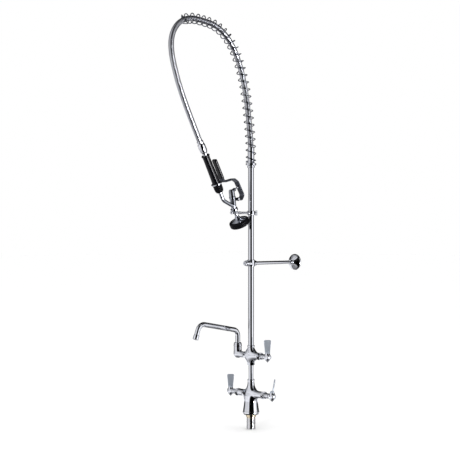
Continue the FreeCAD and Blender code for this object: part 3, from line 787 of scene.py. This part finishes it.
def mixer_field(g, place):
    """The bell, its neck and both arms, run together."""
    bell = g.barrel(place, mm(0, 0, 29), 2, 0.026,
                    [(0, 0.0244), (0.12, 0.0243), (0.35, 0.0226), (0.6, 0.0212), (0.85, 0.0202),
                     (1, 0.0196)])
    core = g.round_rod(place, mm(0, 0, 46), 2, 0.012, 0.0160)
    neck = g.barrel(place, mm(0, 0, 80), 2, 0.025, [(0, 0.0112), (0.6, 0.0104), (1, 0.0098)])
    arms = g.barrel(place, mm(0, 0, 61.5), 0, 0.050,
                    [(0, 0.0105), (0.3, 0.0108), (0.5, 0.0125), (0.7, 0.0108), (1, 0.0105)])
    lower = g.soft("SMOOTH_MIN", bell, core, 0.006)
    upper = g.soft("SMOOTH_MIN", neck, arms, 0.030)
    whole = g.soft("SMOOTH_MIN", lower, upper, 0.018)
    rim = g.barrel(place, mm(0, 0, 101.3), 2, 0.0037, [(0, 0.0105), (1, 0.0105)], 0.0008)
    return g.soft("SMOOTH_MIN", whole, rim, 0.0006)


def make_base():
    count = int((THREAD_TOP - SHANK_END) / THREAD_STEP) + 1
    rows = [(SHANK_END + THREAD_STEP * i, SHANK_R) for i in range(count)]
    outline = [(-2.0, 0.5), (-2.0, 11.0), (SHANK_END + 0.6, 11.0), (SHANK_END, 11.6),
               (SHANK_END, 12.0)] + rows
    outline += [(THREAD_TOP + 0.1, 12.0), (-7.0, 12.0), (-7.0, 15.2), (-6.7, 15.5), (0.0, 15.5),
                (0.0, 15.0), (3.0, 15.0), (3.0, 0.5)]
    show(lathe("threaded_shank", ORIGIN, Z, outline, BRASS, soft=0, sides=96, radius_of=thread),
         "frame", "brass", "shank")
    show(lathe("gasket_ring", ORIGIN, Z, [(0, 15.6), (0, 22.5), (3, 22.5), (3, 15.6), (0, 15.6)],
               RUBBER, soft=0.7),
         "frame", "rubber", "deck_gasket")
    body = casting("mixer_cast", (-0.052, -0.027, 0.001), (0.052, 0.027, 0.107), 0.7, CHROME,
                   mixer_field)
    foot = lathe("mixer_foot", ORIGIN, Z, [(3, 20), (3, 23.8), (3.8, 25), (8.6, 25), (9.4, 24.2),
                                           (9.4, 20), (3, 20)],
                 CHROME, soft=0.5, sides=128)
    show(joined("mixer_body", [body, foot]), "frame", "chrome", "base_body")


make_base()


# ---------------------------------------------------------------- lever valves
VALVE_HEX, LEVER_BLADE_FROM = 21.0, 11.0    # the blade above its hub is satin, the hub is bright
# name, side, height of the arm, the arm's end and the hub, in millimetres
VALVES = (("hot", -1, 61.5, 50, 88), ("cold", 1, 61.5, 50, 88), ("pot", 1, 176, 34, 69))


def make_valve(name, side, height, arm, hub):
    """One valve: the bonnet nut on the arm's end, the lever on its hub, and the lever's screw."""
    foot, out = mm(side * arm, 0, height), X * side
    span = hub - arm
    sleeve_end = span - 13.0
    outline = [(0, 3.6), (0, 11.9), (0.9, 12.5), (8.1, 12.5), (9, 11.9), (9, 9.0), (12, 9.0),
               (13.2, 8.0), (15.5, 8.0), (16, 7.4), (18, 7.4), (18.6, 7.8), (sleeve_end, 7.8),
               (sleeve_end, 3.6)]
    nut = lathe(name + "_bonnet_nut", foot, out, outline, CHROME, soft=0.5, sides=120,
                radius_of=hexagon(VALVE_HEX, -0.1, 9.0))
    show(nut, "frame", "chrome", name + "_bonnet")
    body = name + "_handle"
    lever = cast_from(name + "_lever", LEVER_CHROME, 0.42, 5, name + "_lever_arm")
    lever.data.materials.append(CHROME)
    for poly in lever.data.polygons:
        if poly.center.z < (height + LEVER_BLADE_FROM) * MM:
            poly.material_index = 1
    show(lever, body, "chrome", name + "_lever")
    cap = [(span + 7.9, 1.0), (span + 7.9, 3.9), (span + 9.6, 3.9), (span + 9.9, 3.0),
           (span + 9.9, 1.8), (span + 8.8, 1.6), (span + 8.6, 0.4)]
    show(lathe(name + "_handle_screw", foot, out, cap, CHROME, soft=0.25, sides=48), body,
         "chrome", name + "_screw")


for label, side, height, arm, hub in VALVES:
    make_valve(label, side, height, arm, hub)
    finish_node(label + "_cartridge", CARTRIDGE)
    finish_node(label + "_spindle", STEEL)


# ---------------------------------------------------------------- add-on faucet and spout
def add_on_field(g, place):
    """The upright, both arms and the elbow that carries the spout, run together."""
    upright = g.barrel(place, mm(0, 0, 178.5), 2, 0.0215,
                       [(0, 0.0100), (0.2, 0.0108), (0.45, 0.0118), (0.65, 0.0112), (0.85, 0.0098),
                        (1, 0.0092)])
    right = g.barrel(place, mm(15, 0, 176), 0, 0.019, [(0, 0.0112), (0.5, 0.0104), (1, 0.0099)],
                     0.0008)
    left = g.round_rod(place, mm(-57, 0, 176), 0, 0.057, 0.0093)
    elbow = g.round_rod(place, mm(-57, 0, 177), 2, 0.010, 0.0118)
    socket = g.barrel(place, mm(-57, 0, 190), 2, 0.009, [(0, 0.012), (1, 0.012)], 0.0008)
    arm = g.soft("SMOOTH_MIN", g.soft("SMOOTH_MIN", left, elbow, 0.010), socket, 0.0008)
    cross = g.soft("SMOOTH_MIN", upright, right, 0.026)
    return g.soft("SMOOTH_MIN", cross, arm, 0.028)


def make_add_on():
    show(lathe("lower_pipe", ORIGIN, Z, [(92, 5.6), (92, 7.4), (162, 7.4), (162, 5.6), (92, 5.6)],
               TUBE_CHROME, soft=0),
         "frame", "chrome", "lower_tube")
    nut = [(147, 7.4), (147, 10.8), (147.9, 11.5), (156.1, 11.5), (157, 10.8), (157, 7.4)]
    show(lathe("pipe_nut", ORIGIN, Z, nut, CHROME, soft=0.4, sides=120,
               radius_of=hexagon(20.0, 146, 158)),
         "frame", "chrome", "coupling_nut")
    body = casting("add_on_casting", (-0.071, -0.017, 0.155), (0.036, 0.017, 0.202), 0.6, CHROME,
                   add_on_field)
    show(body, "frame", "chrome", "add_on_body")
    collar = [(200, 8.5), (200, 10.2), (201, 10.8), (206, 10.8), (207, 10.0), (207, 8.5),
              (200, 8.5)]
    show(lathe("riser_foot_ring", ORIGIN, Z, collar, CHROME, soft=0.4), "frame", "chrome",
         "riser_collar")


make_add_on()

SPOUT_X, SPOUT_BEND_Y, SPOUT_BEND_Z, SPOUT_END = -57.0, -156.3, 247.6, 48.9
SPOUT_TILT, SPOUT_RISE = math.radians(20.0), 0.184


def make_spout():
    foot = mm(SPOUT_X, 0, 0)
    nut = [(199, 7.6), (199, 12.0), (199.8, 12.4), (204, 12.4), (204.6, 11.8), (208, 11.8),
           (210, 11.0), (211.5, 9.4), (211.5, 7.6), (199, 7.6)]
    show(lathe("swivel_nut", foot, Z, nut, CHROME, soft=0.5), "frame", "chrome", "spout_nut")
    bend = mm(SPOUT_X, SPOUT_BEND_Y, SPOUT_BEND_Z - SPOUT_RISE * SPOUT_BEND_Y)
    back_up = Vector((0, math.sin(SPOUT_TILT), math.cos(SPOUT_TILT)))
    tip = bend - back_up * SPOUT_END * MM
    route = [mm(SPOUT_X, 0, 185), mm(SPOUT_X, 0, SPOUT_BEND_Z), bend, tip + back_up * 0.003]
    path = arc_path(route, [0.020, 0.024])
    show(sweep("spout_pipe", path, disc_section(7.4, 64), TUBE_CHROME), "spout", "chrome",
         "spout_tube")
    ring = [(2.9, 5.6), (2.9, 6.6), (0, 6.6), (0, 8.0), (0.5, 8.6), (12.5, 8.6), (13.5, 7.9),
            (13.5, 7.2), (2.9, 5.6)]
    show(lathe("spout_ring", tip, back_up, ring, TUBE_CHROME, soft=0.4), "spout", "chrome",
         "spout_outlet")
    finish_node("spout_screen", STEEL)
    finish_node("spout_retainer", CHROME)
    finish_node("spout_seals", SEAL)


make_spout()


# ---------------------------------------------------------------- riser, wall bracket and hook
BRACKET_Z = 452.5


def make_riser():
    pipe = [(190, 6.3), (190, 8.5), (745, 8.5), (745, 6.3), (190, 6.3)]
    show(lathe("riser_pipe", ORIGIN, Z, pipe, TUBE_CHROME, soft=0), "frame", "chrome", "riser")
    collar = [(738, 8.5), (738, 10.4), (739, 11.0), (744, 11.0), (746, 15.0), (747, 15.8),
              (751, 15.8), (752, 15.0), (752, 8.4)]
    show(lathe("spring_seat", ORIGIN, Z, collar, CHROME, soft=0.6), "frame", "chrome",
         "top_collar")
    ferrule = [(752, 8.2), (752, 9.4), (753, 9.8), (757, 9.8), (757.6, 9.4), (758.2, 9.8),
               (797, 9.8), (799.4, 9.4), (800, 8.8), (798, 8.4)]
    show(lathe("hose_crimp", ORIGIN, Z, ferrule, CHROME, soft=0.3), "frame", "chrome",
         "hose_top_ferrule")


def make_bracket():
    foot = mm(0, 0, BRACKET_Z)
    show(cast_from("bracket_clamp", CHROME, 0.5, 5, "riser_clamp"), "frame", "chrome",
         "bracket_clamp")
    cap = [(21.9, 2.8), (21.9, 6.6), (22.6, 7.0), (26.6, 7.0), (28, 5.8), (28, 3.0), (25.4, 2.8),
           (25.4, 0.4)]
    show(lathe("clamp_screw", foot, -Y, cap, CHROME, soft=0.5, sides=96), "frame", "chrome",
         "bracket_screw")
    show(lathe("wall_rod", foot, Y, [(12, 1.0), (12, 5.25), (190, 5.25), (190, 1.0)], TUBE_CHROME,
               soft=0.2),
         "frame", "chrome", "bracket_rod")
    collar = [(169, 5.25), (169, 6.8), (170, 7.5), (177, 7.5), (178, 7.0), (178, 5.25),
              (169, 5.25)]
    show(lathe("rod_collar", foot, Y, collar, CHROME, soft=0.4), "frame", "chrome",
         "flange_collar")
    bell = [(178, 5.3), (178, 8.5), (180, 11.0), (184, 17.5), (188, 22.4), (191, 24.5),
            (192.5, 25.0), (195, 25.0), (195, 22.6), (190, 21.0), (186, 15.5), (181, 6.0),
            (178, 5.3)]
    show(lathe("wall_bell", foot, Y, bell, CHROME, soft=1.2, sides=128), "frame", "chrome",
         "wall_flange")
    finish_node("wall_plate", STEEL)


def make_hook():
    show(cast_from("hook_clamp", CHROME, 0.4, 4, "hook_ring"), "frame", "chrome", "hook_clamp")
    show(cast_from("hook_knob", CHROME, 0.35, 4, "hook_wing_screw"), "frame", "chrome",
         "hook_knob")
    show(cast_from("hook_fork", CHROME, 0.4, 5, "hook_prongs"), "frame", "chrome", "hook_fork")


make_riser()
make_bracket()
make_hook()

# ---------------------------------------------------------------- spray valve
TILT = math.radians(29.0)
GRIP_FOOT = mm(0, -142.5, 688.3)
DOWN = Vector((0, math.sin(TILT), -math.cos(TILT)))
TOWARD = Vector((0, math.cos(TILT), math.sin(TILT)))
NECK_B = 26.8
PIN = (79.0, 50.0)


def spray_at(a, b):
    """A point of the spray valve: a down the grip, b from the grip toward the riser."""
    return GRIP_FOOT + (DOWN * a + TOWARD * b) * MM


def fluted(count, depth, low, high):
    """A section shaper: shallow flutes that fade out at both ends."""
    def shape(h, r, turn):
        if not low < h < high:
            return r
        fade = min(1.0, (h - low) / 4.0, (high - h) / 4.0)
        return r - depth * fade * (0.5 - 0.5 * math.cos(count * turn)) ** 2
    return shape


def make_grip():
    nut = [(-136, 8.2), (-136, 9.0), (-135, 9.6), (-130, 9.6), (-129, 9.0), (-127.5, 9.2),
           (-125, 10.6), (-123, 11.0), (-106, 11.0), (-104.6, 10.6), (-104, 10.0), (-103, 10.4),
           (-101, 9.8), (-98, 8.4), (-97, 8.2), (-97, 6.7)]
    show(lathe("hose_coupling", GRIP_FOOT, DOWN, nut, CHROME, soft=0.5), "spray", "chrome",
         "hose_end_nut")
    tube = [(-97, 4.0), (-97, 6.7), (33, 6.7), (33, 4.0)]
    show(lathe("grip_core", GRIP_FOOT, DOWN, tube, CHROME, soft=0), "spray", "chrome", "grip_tube")
    sleeve = [(-91, 6.8), (-91, 11.4), (-90, 12.5), (-87.6, 12.5), (-85.5, 10.9), (-80, 10.7)]
    sleeve += [(-78 + 4 * i, 10.7 + 1.5 * (i / 19) ** 1.5) for i in range(20)]
    sleeve += [(-0.6, 12.3), (0, 11.6), (0, 6.8)]
    show(lathe("grip_sleeve", GRIP_FOOT, DOWN, sleeve, GRIP, soft=0.7, sides=144,
               radius_of=fluted(12, 0.06, -82, -3)), "spray", "grip_plastic", "grip")
    ring = [(0, 6.7), (0, 15.9), (0.7, 16.6), (2.9, 16.6), (3.6, 15.9), (3.6, 6.7), (0, 6.7)]
    show(lathe("grip_ring", GRIP_FOOT, DOWN, ring, CHROME, soft=0.3), "spray", "chrome",
         "grip_flange")
    cup = [(3.6, 6.7), (3.6, 12.7), (4.4, 13.3), (12, 13.4), (12.6, 12.9), (13.4, 12.9),
           (14, 13.3), (18, 13.2), (24, 12.4), (28, 10.6), (29.5, 8.5), (29.5, 6.7)]
    show(lathe("cup_boot", GRIP_FOOT, DOWN, cup, RUBBER, soft=0.6), "spray", "rubber", "grip_cup")


def make_valve_head():
    show(cast_from("spray_casting", SPRAY_CHROME, 0.5, 7, "spray_body"), "spray", "chrome",
         "spray_casting")
    show(cast_from("spray_bonnet", SPRAY_CHROME, 0.4, 4, "valve_bonnet"), "spray", "chrome",
         "spray_bonnet")
    stem = spray_at(50, 44.0)
    show(lathe("push_stem", stem, TOWARD, [(-1, 0.6), (-1, 2.4), (24.5, 2.4), (24.5, 4.0),
                                           (27.2, 4.0), (28.4, 2.8), (28.5, 0.6)],
               STEEL, soft=0.3, sides=48), "stem", "chrome", "spray_stem")
    pin_at = spray_at(*PIN)
    pin = [(-11, 0.5), (-11, 3.2), (-10.4, 3.8), (-9.5, 3.8), (-9.5, 2.95), (9.5, 2.95),
           (9.5, 3.8), (10.4, 3.8), (11, 3.2), (11, 0.5)]
    show(lathe("pivot_pin", pin_at, X, pin, CHROME, soft=0.25, sides=48), "spray", "chrome",
         "lever_pin")
    finish_node("seat_washer", SEAL)
    finish_node("valve_spring", SPRING_WIRE)


def make_spray_head():
    foot = spray_at(0, NECK_B)
    bumper = [(137, 23.6), (137, 27.0), (138.4, 29.4), (141, 30.5), (145, 30.5), (145.8, 29.9),
              (146.6, 30.5), (150.5, 30.4), (153, 29.4), (155, 27.2), (155, 24.6), (153, 23.0),
              (150, 22.1), (144, 22.1), (144, 23.6), (137, 23.6)]
    show(lathe("bumper_ring", foot, DOWN, bumper, RUBBER, soft=0.8, sides=128), "spray", "rubber",
         "bumper")
    finish_node("face_ring", CHROME)
    finish_node("spray_plate", STEEL)


def make_lever():
    show(cast_from("lever_strap", DARK_CHROME, 0.42, 4, "squeeze_strap"), "squeeze", "chrome",
         "lever_strap")
    show(cast_from("lever_pad", GRIP, 0.4, 3, "squeeze_pad"), "squeeze", "grip_plastic",
         "lever_pad")


make_grip()
make_valve_head()
make_spray_head()
make_lever()
finish_node("check_valves", CARTRIDGE)


# ---------------------------------------------------------------- room
# Each band is (place, brightness). Round the room the place is a share of a turn, and up the
# walls it is a share of the way from straight down to straight up.
WALLS = [(0.0, 0.02), (0.05, 0.05), (0.09, 0.50), (0.13, 0.80), (0.19, 0.66), (0.285, 0.85),
         (0.305, 0.0), (0.488, 0.0), (0.508, 1.5), (0.60, 1.1), (0.655, 0.35), (0.67, 0.01),
         (0.84, 0.01), (0.86, 0.35), (0.92, 0.35), (0.94, 0.02)]
WALLS_UP = [(0.40, 0.0), (0.46, 1.0), (0.60, 1.0), (0.64, 0.0)]
LOW_GAPS = [(0.025, 1.0), (0.035, 0.05), (0.06, 0.05), (0.07, 1.0), (0.285, 1.0), (0.305, 0.0),
            (0.488, 0.0), (0.508, 1.0), (0.65, 1.0), (0.66, 0.05), (0.70, 0.05), (0.71, 1.0),
            (0.835, 1.0), (0.845, 0.05), (0.89, 0.05), (0.90, 1.0)]
LOW_UP = [(0.0, 0.12), (0.10, 0.25), (0.26, 0.9), (0.40, 1.0), (0.46, 0.0)]
HIGH_WALLS = [(0.0, 0.20), (0.06, 0.35), (0.14, 0.85), (0.28, 0.95), (0.30, 0.01), (0.50, 0.01),
              (0.515, 0.85), (0.55, 0.85), (0.57, 0.12), (0.70, 0.01)]
HIGH_UP = [(0.60, 0.0), (0.64, 1.0), (0.88, 0.8), (0.95, 0.3)]
STRIP = [(0.494, 0.0), (0.500, 1.0), (0.528, 1.0), (0.534, 0.0)]
STRIP_UP = [(0.28, 0.0), (0.30, 1.0), (0.385, 1.0), (0.40, 0.0)]
STRIP_BRIGHTNESS = 30.0
BLUE_TINT = 1.02
WHITE = (1.0, 1.0, 1.0, 1)


def studio_world():
    """White to the eye, soft white light all round, and banded walls for the chrome to mirror."""
    world = bpy.data.worlds.new("studio")
    bpy.context.scene.world = world
    world.use_nodes = True
    nodes = Nodes(world.node_tree)
    back = world.node_tree.nodes["Background"]
    way = nodes.add("ShaderNodeTexCoord").outputs["Generated"]
    split = nodes.add("ShaderNodeSeparateXYZ")
    nodes.link(way, split.inputs[0])
    bearing = nodes.math("ARCTAN2", split.outputs["Y"], split.outputs["X"])
    turn = nodes.math("ADD", nodes.math("DIVIDE", bearing, TAU), 0.5)
    height = nodes.math("ADD", nodes.math("MULTIPLY", split.outputs["Z"], 0.5), 0.5)

    def band(around, up):
        """A pattern round the room times a pattern up its walls."""
        factors = []
        for measure, stops in ((turn, around), (height, up)):
            greys = [(place, (value, value, value * BLUE_TINT)) for place, value in stops]
            factors.append(nodes.ramp(measure, greys))
        return nodes.vector("MULTIPLY", *factors)

    bands = nodes.vector("ADD", band(WALLS, WALLS_UP), band(LOW_GAPS, LOW_UP))
    bands = nodes.vector("ADD", bands, band(HIGH_WALLS, HIGH_UP))
    strip = nodes.vector("SCALE", band(STRIP, STRIP_UP), scale=STRIP_BRIGHTNESS)
    bands = nodes.vector("ADD", bands, strip)
    path = nodes.add("ShaderNodeLightPath")
    mirrored = nodes.add("ShaderNodeMix", data_type="RGBA")
    nodes.link(path.outputs["Is Glossy Ray"], mirrored.inputs["Factor"])
    mirrored.inputs["A"].default_value = WHITE
    nodes.link(bands, mirrored.inputs["B"])
    seen = nodes.add("ShaderNodeMix", data_type="RGBA")
    nodes.link(path.outputs["Is Camera Ray"], seen.inputs["Factor"])
    nodes.link(mirrored.outputs["Result"], seen.inputs["A"])
    seen.inputs["B"].default_value = WHITE
    nodes.link(seen.outputs["Result"], back.inputs["Color"])
    back.inputs["Strength"].default_value = 1.0


FLOOR_SIZE, FLOOR_Z = 40, -0.0445


def make_floor():
    bpy.ops.mesh.primitive_plane_add(size=FLOOR_SIZE, location=(0, 0, FLOOR_Z))
    floor = bpy.context.object
    floor.name = "floor"
    material, _, shader, _ = surface("pale_floor")
    shader.inputs["Base Color"].default_value = WHITE
    shader.inputs["Roughness"].default_value = 0.8
    shader.inputs["Specular IOR Level"].default_value = 0.0
    floor.data.materials.append(material)
    floor.visible_glossy = False


LAMP_SIZE = 0.07, 2.0


def light(name, place, aim, power):
    """A tall narrow lamp that the chrome doesn't mirror."""
    data = bpy.data.lights.new(name, "AREA")
    data.shape = "RECTANGLE"
    data.size, data.size_y = LAMP_SIZE
    data.energy = power
    obj = placed(name, data)
    obj.location = place
    obj.rotation_mode = "QUATERNION"
    obj.rotation_quaternion = (Vector(aim) - Vector(place)).to_track_quat("-Z", "Y")
    obj.visible_glossy = False


make_floor()
studio_world()
bpy.context.scene.view_settings.view_transform = "Standard"
light("key", (1.2, -2.4, 2.2), (0, 0, 0.5), 14)
light("side", (2.6, 0.6, 1.2), (0, 0, 0.6), 8)
